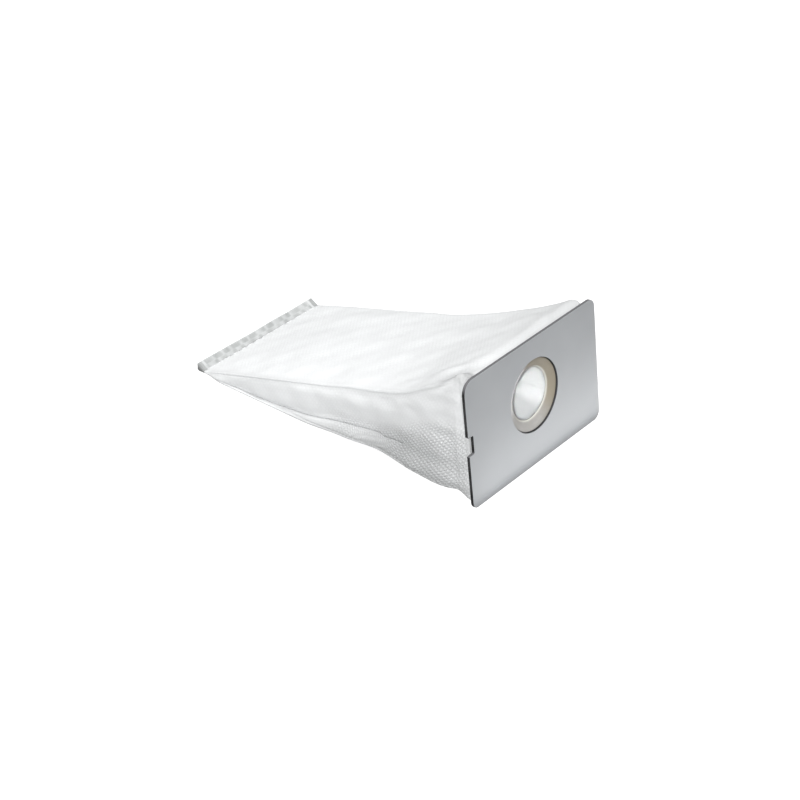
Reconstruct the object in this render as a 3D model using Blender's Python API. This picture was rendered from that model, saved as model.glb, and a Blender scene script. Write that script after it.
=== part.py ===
"""Dust bag of a hand-held sander: a fleece bag on a stiff mounting plate.

The bag lies on its underside, mouth to the front. X runs across the plate,
Y from the plate to the welded tail, Z up, floor at Z = 0. The origin is below
the middle of the whole object. All driving dimensions are in millimetres.
"""

import math

import bmesh
import bpy
from mathutils import Vector

MM = 0.001

# Mounting plate: a flat rectangle with four corner radii, seen from the front
PLATE_WIDTH = 110.0
PLATE_HEIGHT = 70.6
PLATE_THICKNESS = 1.8
PLATE_LEAN = math.radians(6.8)  # its top leans back over the bag
CORNER_TOP_LEFT = 7.0
CORNER_TOP_RIGHT = 5.0
CORNER_BOTTOM_RIGHT = 5.0
CORNER_BOTTOM_LEFT = 3.6
PLATE_EDGE_ROUNDING = 0.25
NOTCH_HEIGHT = 10.2  # keying notch in the left edge
NOTCH_DEPTH = 4.0
NOTCH_RISE = 0.2  # of the notch's middle above the plate's middle
NOTCH_ROUNDING = 0.8
PORT_DIAMETER = 40.0
PORT_RISE = 3.6  # of the port's middle above the plate's middle

# Lip seal: a soft ring behind the plate, its lip running inwards and back
SEAL_FLANGE_DIAMETER = 52.0
SEAL_FLANGE_THICKNESS = 0.6
SEAL_LIP_DIAMETER = 28.0
SEAL_LIP_DEPTH = 3.5  # of the lip's edge behind the plate's front face
SEAL_LIP_THICKNESS = 0.4

# Filter bag: one fleece tube, gusseted on both sides, folded square at the
# plate and welded flat at the tail
FLEECE = 0.7
GAP = 0.3  # between pieces that touch
WELD_START = 188.9  # along Y from the middle of the plate's front face
WELD_LENGTH = 5.9
WELD_LIFT = 3.4  # the welded band curls up by this much
WELD_THICKNESS = 1.3
PANEL_HALF_WIDTH = 47.7  # of the top and bottom panels, between the folds
SHOULDER_GAIN = 6.2  # the top fold stands out this much more near the plate
BLOCK_HALF_WIDTH = 52.6  # of the squared end behind the plate
TAIL_HEIGHT = 1.5
TOP_SLOPE = 0.285  # rise of the top fold for each mm towards the plate
TOP_FLARE = 25.9  # extra rise of the top fold near the plate
TOP_FLARE_LENGTH = 30.25
BLOCK_TOP = 70.6
TOP_CROWN = 2.4
UNDERSIDE_LIFT = 2.5  # of the bottom fold above the floor, before the middle
SLIT_DEPTH = 8.0  # of the gusset's fold between its two layers
SLIT_GAP = 1.0
LEDGE_HEIGHT = 2.3  # the gusset's lower layer shows this much under the slit
LEDGE_INSET = 1.8
HOLLOW_END = 172.0  # the layers lie together from here to the weld

PIECES = {
    # name: (colour, roughness)
    "mounting_plate": ((0.42, 0.435, 0.455, 1.0), 0.42),
    "lip_seal": ((0.56, 0.50, 0.42, 1.0), 0.55),
    "filter_bag": ((0.88, 0.89, 0.90, 1.0), 0.9),
}

FOOT = PLATE_HEIGHT / 2 * math.cos(PLATE_LEAN) + PLATE_THICKNESS * math.sin(PLATE_LEAN)
FRONT_REACH = PLATE_HEIGHT / 2 * math.sin(PLATE_LEAN)  # lowest front edge, before Y = 0
TAIL_REACH = WELD_START + WELD_LENGTH
Y_SHIFT = (FRONT_REACH - TAIL_REACH) / 2


def smooth(start, end, value):
    """0 at start, 1 at end, with level ends; start may be the larger."""
    part = min(max((value - start) / (end - start), 0.0), 1.0)
    return part * part * (3 - 2 * part)


def soft_min(first, second, blend):
    low = min(first, second)
    return low - blend * math.log(
        math.exp(-(first - low) / blend) + math.exp(-(second - low) / blend)
    )


def place(x, y, z):
    """A point in millimetres, Y from the plate's middle, as a world point."""
    return Vector((x, y + Y_SHIFT, z)) * MM


def on_plate(x, depth, height):
    """A point given on the leaning plate: height from its middle, depth behind its front face."""
    cosine, sine = math.cos(PLATE_LEAN), math.sin(PLATE_LEAN)
    return (x, depth * cosine + height * sine, height * cosine - depth * sine + FOOT)


def material(name):
    colour, roughness = PIECES[name]
    made = bpy.data.materials.new(name)
    made.use_nodes = True
    shader = made.node_tree.nodes["Principled BSDF"]
    shader.inputs["Base Color"].default_value = colour
    shader.inputs["Roughness"].default_value = roughness
    shader.inputs["Metallic"].default_value = 0.0
    return made


def finish(name, mesh_data, smooth_angle):
    mesh = bpy.data.meshes.new(name)
    mesh_data.normal_update()
    mesh_data.to_mesh(mesh)
    mesh_data.free()
    mesh.shade_smooth()
    mesh.set_sharp_from_angle(angle=math.radians(smooth_angle))
    mesh.materials.append(material(name))
    made = bpy.data.objects.new(name, mesh)
    bpy.context.scene.collection.objects.link(made)
    return made


def arc(centre_x, centre_z, radius, start, end, steps):
    """Points on an arc, start and end in degrees, both ends included."""
    return [
        (
            centre_x + radius * math.cos(math.radians(start + (end - start) * i / steps)),
            centre_z + radius * math.sin(math.radians(start + (end - start) * i / steps)),
        )
        for i in range(steps + 1)
    ]


def plate_outline():
    """The plate's outer edge, anticlockwise as seen with X right and Z up."""
    half_w, half_h = PLATE_WIDTH / 2, PLATE_HEIGHT / 2
    points = []
    points += arc(half_w - CORNER_BOTTOM_RIGHT, -half_h + CORNER_BOTTOM_RIGHT, CORNER_BOTTOM_RIGHT, -90, 0, 10)
    points += arc(half_w - CORNER_TOP_RIGHT, half_h - CORNER_TOP_RIGHT, CORNER_TOP_RIGHT, 0, 90, 10)
    points += arc(-half_w + CORNER_TOP_LEFT, half_h - CORNER_TOP_LEFT, CORNER_TOP_LEFT, 90, 180, 12)
    # the notch: outer corners rounded outwards, inner corners rounded inwards
    top = NOTCH_RISE + NOTCH_HEIGHT / 2
    low = NOTCH_RISE - NOTCH_HEIGHT / 2
    r = NOTCH_ROUNDING
    points += arc(-half_w + r, top + r, r, 180, 270, 4)
    points += arc(-half_w + NOTCH_DEPTH - r, top - r, r, 90, 0, 4)
    points += arc(-half_w + NOTCH_DEPTH - r, low + r, r, 0, -90, 4)
    points += arc(-half_w + r, low - r, r, 90, 180, 4)
    points += arc(-half_w + CORNER_BOTTOM_LEFT, -half_h + CORNER_BOTTOM_LEFT, CORNER_BOTTOM_LEFT, 180, 270, 8)
    return points


def inset(points, amount):
    """A closed outline drawn in by an equal amount all round; positive shrinks an anticlockwise one."""
    made = []
    count = len(points)
    for i, (x, z) in enumerate(points):
        before, after = points[i - 1], points[(i + 1) % count]
        a = Vector((x - before[0], z - before[1])).normalized()
        b = Vector((after[0] - x, after[1] - z)).normalized()
        normal = Vector((-(a.y + b.y), a.x + b.x)).normalized()
        spread = max(normal.dot(Vector((-a.y, a.x))), 0.5)
        made.append((x + normal.x * amount / spread, z + normal.y * amount / spread))
    return made


def build_plate():
    """The plate: outline and port in stacked layers, so that every edge is lightly rounded."""
    data = bmesh.new()
    round_to = PLATE_EDGE_ROUNDING
    edge = plate_outline()
    port = arc(0.0, PORT_RISE, PORT_DIAMETER / 2, 0, 360, 120)[:-1]
    steps = [
        (round_to * (1 - math.cos(math.radians(a))), round_to * (1 - math.sin(math.radians(a))))
        for a in (90, 45, 0)
    ]
    layers = [(depth, back) for back, depth in steps]
    layers += [(PLATE_THICKNESS - depth, back) for back, depth in reversed(steps)]

    def stack(outline, sign):
        loops = []
        for depth, back in layers:
            ring = inset(outline, sign * back)
            loops.append([data.verts.new(place(*on_plate(x, depth, z))) for x, z in ring])
        return loops

    outer = stack(edge, 1)
    inner = stack(port, -1)
    for loops, turned in ((outer, False), (inner, True)):
        for first, second in zip(loops, loops[1:]):
            count = len(first)
            for i in range(count):
                j = (i + 1) % count
                quad = (first[i], first[j], second[j], second[i])
                data.faces.new(tuple(reversed(quad)) if turned else quad)
    data.edges.ensure_lookup_table()
    for level in (0, -1):
        rims = []
        for loops in (outer, inner):
            ring = loops[level]
            rims += [data.edges.get((ring[i], ring[(i + 1) % len(ring)])) for i in range(len(ring))]
        bmesh.ops.triangle_fill(data, use_beauty=True, use_dissolve=False, edges=rims)
    bmesh.ops.recalc_face_normals(data, faces=data.faces)
    return finish("mounting_plate", data, 30)


def seal_profile():
    """The ring's section as (radius, depth behind the plate's front face), once round."""
    front = PLATE_THICKNESS + GAP
    back = front + SEAL_FLANGE_THICKNESS
    rim, lip = SEAL_FLANGE_DIAMETER / 2, SEAL_LIP_DIAMETER / 2
    root = PORT_DIAMETER / 2 - 0.4
    front_side, back_side = [], []
    steps = 5
    for i in range(steps + 1):
        t = i / steps
        radius = root + (lip - root) * t
        # the lip leaves the flange level and dips towards its edge
        dip = front + (SEAL_LIP_DEPTH - front) * (0.35 * t + 0.65 * t * t)
        thick = SEAL_FLANGE_THICKNESS + (SEAL_LIP_THICKNESS - SEAL_FLANGE_THICKNESS) * t
        front_side.append((radius, dip))
        back_side.append((radius + 0.12 * t, dip + thick))
    return [(rim, front), *front_side, *reversed(back_side), (rim, back)]


def build_seal():
    data = bmesh.new()
    profile = seal_profile()
    turns = 80
    rings = []
    for k in range(turns):
        angle = 2 * math.pi * k / turns
        rings.append(
            [
                data.verts.new(
                    place(*on_plate(r * math.cos(angle), depth, PORT_RISE + r * math.sin(angle)))
                )
                for r, depth in profile
            ]
        )
    for k in range(turns):
        first, second = rings[k], rings[(k + 1) % turns]
        for i in range(len(profile)):
            j = (i + 1) % len(profile)
            data.faces.new((first[i], first[j], second[j], second[i]))
    bmesh.ops.recalc_face_normals(data, faces=data.faces)
    return finish("lip_seal", data, 35)


def top_fold(y):
    """Height of the top fold above the floor."""
    rise = TAIL_HEIGHT + TOP_SLOPE * (WELD_START + 0.6 - y)
    return soft_min(rise + TOP_FLARE * math.exp(-y / TOP_FLARE_LENGTH), BLOCK_TOP, 0.8)


def section(station):
    """The bag's outer section at a distance along Y: points (x, z) from the top middle, round the +X side and back."""
    square = 1 - smooth(2.0, 60.0, station)  # 1 where the bag is folded square
    y = station + math.tan(PLATE_LEAN) * (top_fold(station) - FOOT) * square
    fold_high = top_fold(y)
    fold_wide = PANEL_HALF_WIDTH + SHOULDER_GAIN * smooth(96, 38, station)
    fold_wide += (BLOCK_HALF_WIDTH - PANEL_HALF_WIDTH - SHOULDER_GAIN) * smooth(30, 6, station)
    low = UNDERSIDE_LIFT * math.exp(-(((station - 64) / 20.0) ** 2)) * smooth(150, 110, station)
    low += 0.9 * smooth(22, 4, station)
    low_wide = PANEL_HALF_WIDTH + 2.0 * smooth(40, 2, station)
    # the welded band is thin and curls up
    weld = max(0.0, (station - WELD_START) / WELD_LENGTH)
    if weld > 0:
        low = WELD_LIFT * weld ** 1.1
        fold_high = low + TAIL_HEIGHT + (WELD_THICKNESS - TAIL_HEIGHT) * weld
        fold_wide = low_wide = PANEL_HALF_WIDTH - 0.5 * weld
    height = fold_high - low
    crown = TOP_CROWN * smooth(WELD_START, 120, station) * smooth(2, 40, station)
    corner = min(1.1 + 6.9 * smooth(14, 2.5, station), 0.42 * height)
    foot_round = min(1.1 + 1.5 * smooth(14, 2.5, station), 0.42 * height)

    top_steps, corner_steps, belly_steps, slit_steps, bottom_steps = 8, 3, 6, 2, 8
    half = []
    for i in range(top_steps + 1):
        x = (fold_wide - corner) * i / top_steps
        half.append((x, fold_high + crown * (1 - (x / (fold_wide - corner)) ** 2)))
    for i in range(1, corner_steps + 1):
        angle = math.pi / 2 * (1 - i / corner_steps)
        half.append((fold_wide - corner + corner * math.cos(angle), fold_high - corner + corner * math.sin(angle)))
    # the side, first as one plain wall from the top fold to the bottom fold
    start = (fold_wide, fold_high - corner)
    end = (low_wide, low + foot_round)
    count = belly_steps + 2 * slit_steps + 2
    plain = []
    for i in range(1, count + 1):
        # the slit's points keep to the foot of the wall, where the fold will open
        t = 0.8 * i / belly_steps if i <= belly_steps else 0.8 + 0.2 * (i - belly_steps) / (count - belly_steps)
        bulge = 1.2 * math.sin(math.pi * t) * min(1.0, height / 30)
        plain.append((start[0] + (end[0] - start[0]) * t + bulge, start[1] + (end[1] - start[1]) * t))
    # then as a belly over a slit over the lower layer's ledge
    mouth = LEDGE_HEIGHT + low
    ledge = (low_wide - LEDGE_INSET, mouth)
    lip = (low_wide - LEDGE_INSET, mouth + SLIT_GAP)
    folded = []
    for i in range(1, belly_steps + 1):
        t = i / belly_steps
        a, b, c, d = (1 - t) ** 3, 3 * t * (1 - t) ** 2, 3 * t * t * (1 - t), t ** 3
        drop = start[1] - lip[1]
        folded.append(
            (
                a * start[0] + b * (start[0] - 1.0) + c * (lip[0] + 2.6) + d * lip[0],
                a * start[1] + b * (start[1] - 0.33 * drop) + c * (lip[1] + 0.22 * drop) + d * lip[1],
            )
        )
    for i in range(1, slit_steps + 1):
        folded.append((lip[0] - SLIT_DEPTH * i / slit_steps, lip[1]))
    for i in range(slit_steps + 1):
        folded.append((ledge[0] - SLIT_DEPTH * (1 - i / slit_steps), ledge[1]))
    folded.append((low_wide, low + foot_round))
    share = smooth(34, 92, station) * smooth(174, 156, station)
    for (px, pz), (fx, fz) in zip(plain, folded):
        half.append((px + (fx - px) * share, pz + (fz - pz) * share))
    middle = max(0.0, low - 1.2) if weld == 0 else low
    for i in range(1, corner_steps + 1):
        angle = -math.pi / 2 * i / corner_steps
        half.append((low_wide - foot_round + foot_round * math.cos(angle), low + foot_round + foot_round * math.sin(angle)))
    for i in range(1, bottom_steps + 1):
        x = (low_wide - foot_round) * (1 - i / bottom_steps)
        sag = 1 - (x / (low_wide - foot_round)) ** 2
        half.append((x, low + (middle - low) * sag))
    mirrored = [(-x, z) for x, z in reversed(half[1:-1])]
    return half + mirrored


def sheared(station, z):
    """The Y of a section's point: sections by the plate lie parallel to it."""
    square = 1 - smooth(2.0, 60.0, station)
    return station + math.tan(PLATE_LEAN) * (z - FOOT) * square


def build_bag():
    data = bmesh.new()
    face_depth = PLATE_THICKNESS + GAP
    start = face_depth / math.cos(PLATE_LEAN)
    spans = 19
    outer_stations = [start + (WELD_START - start) * (k / spans) ** 1.25 for k in range(spans + 1)]
    outer_stations += [WELD_START + WELD_LENGTH * k / 2 for k in (1, 2)]
    inner_start = (face_depth + FLEECE) / math.cos(PLATE_LEAN)
    inner_stations = [inner_start] + [s for s in outer_stations[1:] if s < HOLLOW_END - 4] + [HOLLOW_END]

    def loft(stations, thickness):
        loops = []
        for s in stations:
            # the outline runs clockwise as seen from the front
            ring = section(s)
            if thickness:
                ring = inset(ring, -thickness)
            loops.append([data.verts.new(place(x, sheared(s, z), z)) for x, z in ring])
        return loops

    outer = loft(outer_stations, 0.0)
    inner = loft(inner_stations, FLEECE)

    def skin(first, second):
        count = len(first)
        for i in range(count):
            j = (i + 1) % count
            data.faces.new((first[i], first[j], second[j], second[i]))

    for loops in (outer, inner):
        for first, second in zip(loops, loops[1:]):
            skin(first, second)

    def cap(loop):
        """Closes a flat end: the two halves of the loop are joined rung by rung."""
        count = len(loop)
        half = count // 2
        for i in range(half):
            right_a, right_b = loop[i], loop[i + 1]
            left_a, left_b = loop[(count - i) % count], loop[count - i - 1]
            corners = []
            for vertex in (right_a, right_b, left_b, left_a):
                if vertex not in corners:
                    corners.append(vertex)
            if len(corners) > 2:
                data.faces.new(corners)

    cap(outer[-1])
    cap(inner[-1])

    # The end wall behind the plate steps back round the seal's flange and stops at the port
    step_out = SEAL_FLANGE_DIAMETER / 2 + 2.0
    step_in = SEAL_FLANGE_DIAMETER / 2 + 0.6
    hole = PORT_DIAMETER / 2
    behind = face_depth + SEAL_FLANGE_THICKNESS + GAP

    def rings(loop, ring_station, face):
        """Circles round the port, each point in line with the matching point of the outline."""
        outline = section(ring_station)
        if face > face_depth:
            outline = inset(outline, -FLEECE)
        angles = []
        for x, z in outline:
            height = (z - FOOT + face * math.sin(PLATE_LEAN)) / math.cos(PLATE_LEAN)
            angles.append(math.atan2(height - PORT_RISE, x))
        back = face - face_depth
        levels = ((step_out, face), (step_in, behind + back), ((step_in + hole) / 2, behind + back), (hole, behind + back))
        made = [loop]
        for radius, depth in levels:
            made.append(
                [data.verts.new(place(*on_plate(radius * math.cos(a), depth, PORT_RISE + radius * math.sin(a)))) for a in angles]
            )
        for first, second in zip(made, made[1:]):
            skin(first, second)
        return made[-1]

    front_edge = rings(outer[0], start, face_depth)
    back_edge = rings(inner[0], inner_start, face_depth + FLEECE)
    skin(front_edge, back_edge)
    bmesh.ops.recalc_face_normals(data, faces=data.faces)
    bmesh.ops.triangulate(data, faces=data.faces)
    return finish("filter_bag", data, 40)


for old in list(bpy.data.objects):
    bpy.data.objects.remove(old, do_unlink=True)

build_plate()
build_seal()
build_bag()
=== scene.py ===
import math

import bmesh
import bpy
import numpy as np
from mathutils import Matrix, Vector


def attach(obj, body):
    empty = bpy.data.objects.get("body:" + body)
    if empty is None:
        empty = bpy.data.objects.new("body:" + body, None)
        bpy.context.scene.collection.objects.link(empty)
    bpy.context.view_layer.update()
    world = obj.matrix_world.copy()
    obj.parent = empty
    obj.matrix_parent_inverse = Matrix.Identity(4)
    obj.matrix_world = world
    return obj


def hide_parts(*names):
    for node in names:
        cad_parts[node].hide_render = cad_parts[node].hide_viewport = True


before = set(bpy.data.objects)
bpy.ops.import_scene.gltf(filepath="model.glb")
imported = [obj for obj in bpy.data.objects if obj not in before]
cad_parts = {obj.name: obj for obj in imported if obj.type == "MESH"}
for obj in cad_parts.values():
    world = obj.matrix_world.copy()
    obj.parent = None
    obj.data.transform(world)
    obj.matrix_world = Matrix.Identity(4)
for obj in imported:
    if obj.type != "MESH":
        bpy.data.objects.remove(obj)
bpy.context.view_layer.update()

MM = 0.001

# ---------------------------------------------------------------- dimensions
# The same driving dimensions as the solids, in millimetres
PLATE_W, PLATE_H, PLATE_T = 110.0, 70.6, 1.8
LEAN = math.radians(6.8)
CORNERS = {"tl": 7.0, "tr": 5.0, "br": 5.0, "bl": 3.6}
NOTCH_H, NOTCH_D, NOTCH_RISE, NOTCH_R = 10.2, 4.0, 0.2, 0.8
PORT_D, PORT_RISE = 40.0, 3.6
FLANGE_D, FLANGE_T, LIP_D, LIP_DEPTH = 52.0, 0.6, 28.0, 3.5
WELD_START, WELD_LENGTH, WELD_LIFT = 188.9, 5.9, 3.4
HALF = 47.7
FLEECE = 0.6
FOOT = PLATE_H / 2 * math.cos(LEAN) + PLATE_T * math.sin(LEAN)
Y_SHIFT = (PLATE_H / 2 * math.sin(LEAN) - WELD_START - WELD_LENGTH) / 2
TAN = math.tan(LEAN)


def place(points):
    """Millimetre points, Y from the plate's middle, in the frame's metres."""
    p = np.array(points, float).reshape(-1, 3)
    return (p + (0.0, Y_SHIFT, 0.0)) * MM


def on_plate(x, depth, height):
    """Points given on the leaning plate: depth behind its front face, height from its middle."""
    x, depth, height = np.broadcast_arrays(np.asarray(x, float), depth, height)
    c, s = math.cos(LEAN), math.sin(LEAN)
    return np.stack([x, depth * c + height * s, height * c - depth * s + FOOT], -1)


def smooth(start, end, value):
    t = np.clip((np.asarray(value, float) - start) / (end - start), 0, 1)
    return t * t * (3 - 2 * t)


def bump(value, middle, width):
    return np.exp(-(((np.asarray(value, float) - middle) / width) ** 2))


def soft_min(a, b, k):
    low = np.minimum(a, b)
    return low - k * np.log(np.exp(-(a - low) / k) + np.exp(-(b - low) / k))


# ---------------------------------------------------------------- camera
def camera():
    data = bpy.data.cameras.new("camera")
    data.lens, data.sensor_width, data.clip_start = 85.5, 36.0, 0.01
    made = bpy.data.objects.new("camera", data)
    bpy.context.scene.collection.objects.link(made)
    return made


# ---------------------------------------------------------------- materials
class Tree:
    """Short hand for a node material."""

    def __init__(self, name):
        self.mat = bpy.data.materials.new(name)
        self.mat.use_nodes = True
        self.tree = self.mat.node_tree
        self.tree.nodes.clear()
        self.out = self.add("ShaderNodeOutputMaterial")

    def add(self, kind, **settings):
        node = self.tree.nodes.new(kind)
        for key, value in settings.items():
            setattr(node, key, value)
        return node

    def link(self, source, target):
        self.tree.links.new(source, target)

    def feed(self, socket, value):
        if isinstance(value, bpy.types.NodeSocket):
            self.link(value, socket)
        elif value is not None:
            socket.default_value = value

    def math(self, operation, a, b=None, c=None, clamp=False):
        node = self.add("ShaderNodeMath", operation=operation, use_clamp=clamp)
        for socket, value in zip(node.inputs, (a, b, c)):
            self.feed(socket, value)
        return node.outputs[0]

    def ramp(self, value, low, high, to_low=0.0, to_high=1.0, kind="SMOOTHSTEP"):
        node = self.add("ShaderNodeMapRange", interpolation_type=kind)
        self.feed(node.inputs["Value"], value)
        node.inputs["From Min"].default_value = low
        node.inputs["From Max"].default_value = high
        node.inputs["To Min"].default_value = to_low
        node.inputs["To Max"].default_value = to_high
        return node.outputs[0]

    def mix(self, factor, a, b):
        node = self.add("ShaderNodeMix", data_type="RGBA")
        self.feed(node.inputs[0], factor)
        self.feed(node.inputs[6], a)
        self.feed(node.inputs[7], b)
        return node.outputs[2]

    def noise(self, scale, detail=2.0, rough=0.5, vector=None, distortion=0.0):
        node = self.add("ShaderNodeTexNoise")
        node.inputs["Scale"].default_value = scale
        node.inputs["Detail"].default_value = detail
        node.inputs["Roughness"].default_value = rough
        node.inputs["Distortion"].default_value = distortion
        if vector is not None:
            self.link(vector, node.inputs["Vector"])
        return node.outputs["Fac"]


def rgba(r, g, b):
    return (r, g, b, 1.0)


def fleece_material(name, tint, through):
    """Embossed fleece: raised dots in staggered rows, fused in a net between them, lets light through."""
    t = Tree(name)
    coords = t.add("ShaderNodeTexCoord")
    sheet = t.add("ShaderNodeUVMap", uv_map="sheet")
    split = t.add("ShaderNodeSeparateXYZ")
    t.link(sheet.outputs["UV"], split.inputs[0])
    # the first attribute is painted shade from the bag's mesh; the second sets where the bond points stand out and
    # paints shade there too
    greyed = t.add("ShaderNodeAttribute", attribute_name="greyed").outputs["Fac"]
    crisp = t.add("ShaderNodeAttribute", attribute_name="emboss_and_shade").outputs["Fac"]
    pitch = (3.3, 2.5)  # round the bag, along it

    def lattice(shift):
        parts = []
        for axis in (0, 1):
            scaled = t.math("MULTIPLY_ADD", split.outputs[axis], 1 / pitch[axis], shift + 200.0)
            centred = t.math("MULTIPLY", t.math("SUBTRACT", t.math("FRACT", scaled), 0.5), pitch[axis])
            parts.append(t.math("MULTIPLY", centred, centred))
        return t.math("ADD", *parts)

    apart = t.math("SQRT", t.math("MINIMUM", lattice(0.0), lattice(0.5)))
    dot = t.ramp(apart, 1.02, 0.30)
    fibre = t.noise(2600.0, 3.0, 0.6, coords.outputs["Object"], 0.6)
    matted = t.noise(420.0, 3.0, 0.55, coords.outputs["Object"])
    cloud = t.noise(38.0, 2.0, 0.5, coords.outputs["Object"])

    gap = t.math("MULTIPLY", t.math("SUBTRACT", 1.0, dot), crisp)
    colour = t.mix(t.ramp(matted, 0.3, 0.7), rgba(*[v * 0.98 for v in tint]), rgba(*tint))
    # painted shade: darker where the bond points stand out, low on the sides
    colour = t.mix(t.math("MULTIPLY", crisp, 0.6), colour, rgba(*[v * 0.86 for v in tint]))
    # the net between the dots darker: partly the bonded net's own tone, partly painted shade that deepens the dots'
    # relief
    colour = t.mix(gap, colour, rgba(*[v * 0.77 for v in tint]))
    colour = t.mix(t.ramp(cloud, 0.35, 0.7, 0.0, 0.3), colour, rgba(*[min(0.99, v * 1.01) for v in tint]))
    # painted shade from the mesh: creases, hem, near the plate and the turned-under sides
    colour = t.mix(t.math("MULTIPLY", greyed, 0.667), colour, rgba(*[v * 0.46 for v in tint]))

    height = t.math("MULTIPLY_ADD", fibre, 0.14, t.math("MULTIPLY", matted, 0.18))
    height = t.math("MULTIPLY_ADD", dot, crisp, height)
    relief = t.add("ShaderNodeBump")
    relief.inputs["Strength"].default_value = 0.9
    relief.inputs["Distance"].default_value = 0.00045
    t.link(height, relief.inputs["Height"])

    body = t.add("ShaderNodeBsdfPrincipled")
    t.feed(body.inputs["Base Color"], colour)
    t.feed(body.inputs["Roughness"], t.ramp(gap, 0.0, 1.0, 0.9, 0.62, "LINEAR"))
    body.inputs["Specular IOR Level"].default_value = 0.3
    body.inputs["Sheen Weight"].default_value = 0.08
    body.inputs["Sheen Roughness"].default_value = 0.5
    t.link(relief.outputs["Normal"], body.inputs["Normal"])
    glow = t.add("ShaderNodeBsdfTranslucent")
    t.feed(glow.inputs["Color"], colour)
    t.link(relief.outputs["Normal"], glow.inputs["Normal"])
    both = t.add("ShaderNodeMixShader")
    both.inputs[0].default_value = through
    t.link(body.outputs[0], both.inputs[1])
    t.link(glow.outputs[0], both.inputs[2])
    t.link(both.outputs[0], t.out.inputs["Surface"])
    return t.mat


def inside_material(name, tint, through):
    """The fleece's inner face: lofty, unbonded fibres, no dots, lets most light on."""
    t = Tree(name)
    coords = t.add("ShaderNodeTexCoord")
    tangle = t.noise(900.0, 4.0, 0.6, coords.outputs["Object"], 1.2)
    tuft = t.noise(150.0, 3.0, 0.5, coords.outputs["Object"])
    colour = t.mix(t.ramp(tuft, 0.3, 0.7), rgba(*[v * 0.97 for v in tint]), rgba(*tint))
    relief = t.add("ShaderNodeBump")
    relief.inputs["Strength"].default_value = 0.6
    relief.inputs["Distance"].default_value = 0.0004
    t.link(t.math("ADD", tangle, t.math("MULTIPLY", tuft, 0.8)), relief.inputs["Height"])
    body = t.add("ShaderNodeBsdfPrincipled")
    t.feed(body.inputs["Base Color"], colour)
    t.feed(body.inputs["Roughness"], t.ramp(tangle, 0.2, 0.8, 0.85, 0.98, "LINEAR"))
    body.inputs["Specular IOR Level"].default_value = 0.15
    t.link(relief.outputs["Normal"], body.inputs["Normal"])
    glow = t.add("ShaderNodeBsdfTranslucent")
    t.feed(glow.inputs["Color"], colour)
    both = t.add("ShaderNodeMixShader")
    both.inputs[0].default_value = through
    t.link(body.outputs[0], both.inputs[1])
    t.link(glow.outputs[0], both.inputs[2])
    t.link(both.outputs[0], t.out.inputs["Surface"])
    return t.mat


def weld_material():
    """Fleece fused by a patterned bar: greyer and shinier where the bar fused it, near black at the cut ends as a
    painted shadow of the gap between the layers.
    """
    t = Tree("fused_fleece")
    coords = t.add("ShaderNodeTexCoord")
    mask = t.add("ShaderNodeAttribute", attribute_name="fused")
    fused = mask.outputs["Fac"]
    matted = t.noise(700.0, 3.0, 0.6, coords.outputs["Object"])
    patchy = t.noise(160.0, 2.0, 0.5, coords.outputs["Object"])
    loose = t.mix(matted, rgba(0.60, 0.615, 0.62), rgba(0.68, 0.69, 0.695))
    greyed = t.mix(t.ramp(patchy, 0.3, 0.7), rgba(0.31, 0.32, 0.317), rgba(0.385, 0.395, 0.392))
    colour = t.mix(fused, loose, greyed)
    # painted shadow: fused above 1 at the cut ends turns near black, the gap between the layers
    colour = t.mix(t.ramp(fused, 1.0, 1.75), colour, rgba(0.07, 0.07, 0.07))
    relief = t.add("ShaderNodeBump")
    relief.inputs["Strength"].default_value = 0.5
    relief.inputs["Distance"].default_value = 0.0002
    t.link(t.math("ADD", matted, t.math("MULTIPLY", patchy, 0.6)), relief.inputs["Height"])
    body = t.add("ShaderNodeBsdfPrincipled")
    t.feed(body.inputs["Base Color"], colour)
    t.feed(body.inputs["Roughness"], t.ramp(fused, 0.0, 1.0, 0.85, 0.42, "LINEAR"))
    body.inputs["Specular IOR Level"].default_value = 0.45
    t.link(relief.outputs["Normal"], body.inputs["Normal"])
    t.link(body.outputs[0], t.out.inputs["Surface"])
    return t.mat


def plate_material():
    """Satin sheet plastic: a faint even grain and a very slight cloudiness."""
    t = Tree("plate_face")
    coords = t.add("ShaderNodeTexCoord")
    grain = t.noise(3200.0, 2.0, 0.5, coords.outputs["Object"])
    orange = t.noise(420.0, 2.0, 0.5, coords.outputs["Object"])
    cloud = t.noise(30.0, 3.0, 0.55, coords.outputs["Object"])
    colour = t.mix(t.ramp(cloud, 0.3, 0.7), rgba(0.328, 0.340, 0.353), rgba(0.349, 0.361, 0.374))
    relief = t.add("ShaderNodeBump")
    relief.inputs["Strength"].default_value = 0.25
    relief.inputs["Distance"].default_value = 0.00005
    t.link(t.math("MULTIPLY_ADD", grain, 0.5, orange), relief.inputs["Height"])
    body = t.add("ShaderNodeBsdfPrincipled")
    t.feed(body.inputs["Base Color"], colour)
    t.feed(body.inputs["Roughness"], t.ramp(cloud, 0.2, 0.8, 0.36, 0.44, "LINEAR"))
    body.inputs["Specular IOR Level"].default_value = 0.5
    t.link(relief.outputs["Normal"], body.inputs["Normal"])
    t.link(body.outputs[0], t.out.inputs["Surface"])
    return t.mat


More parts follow.
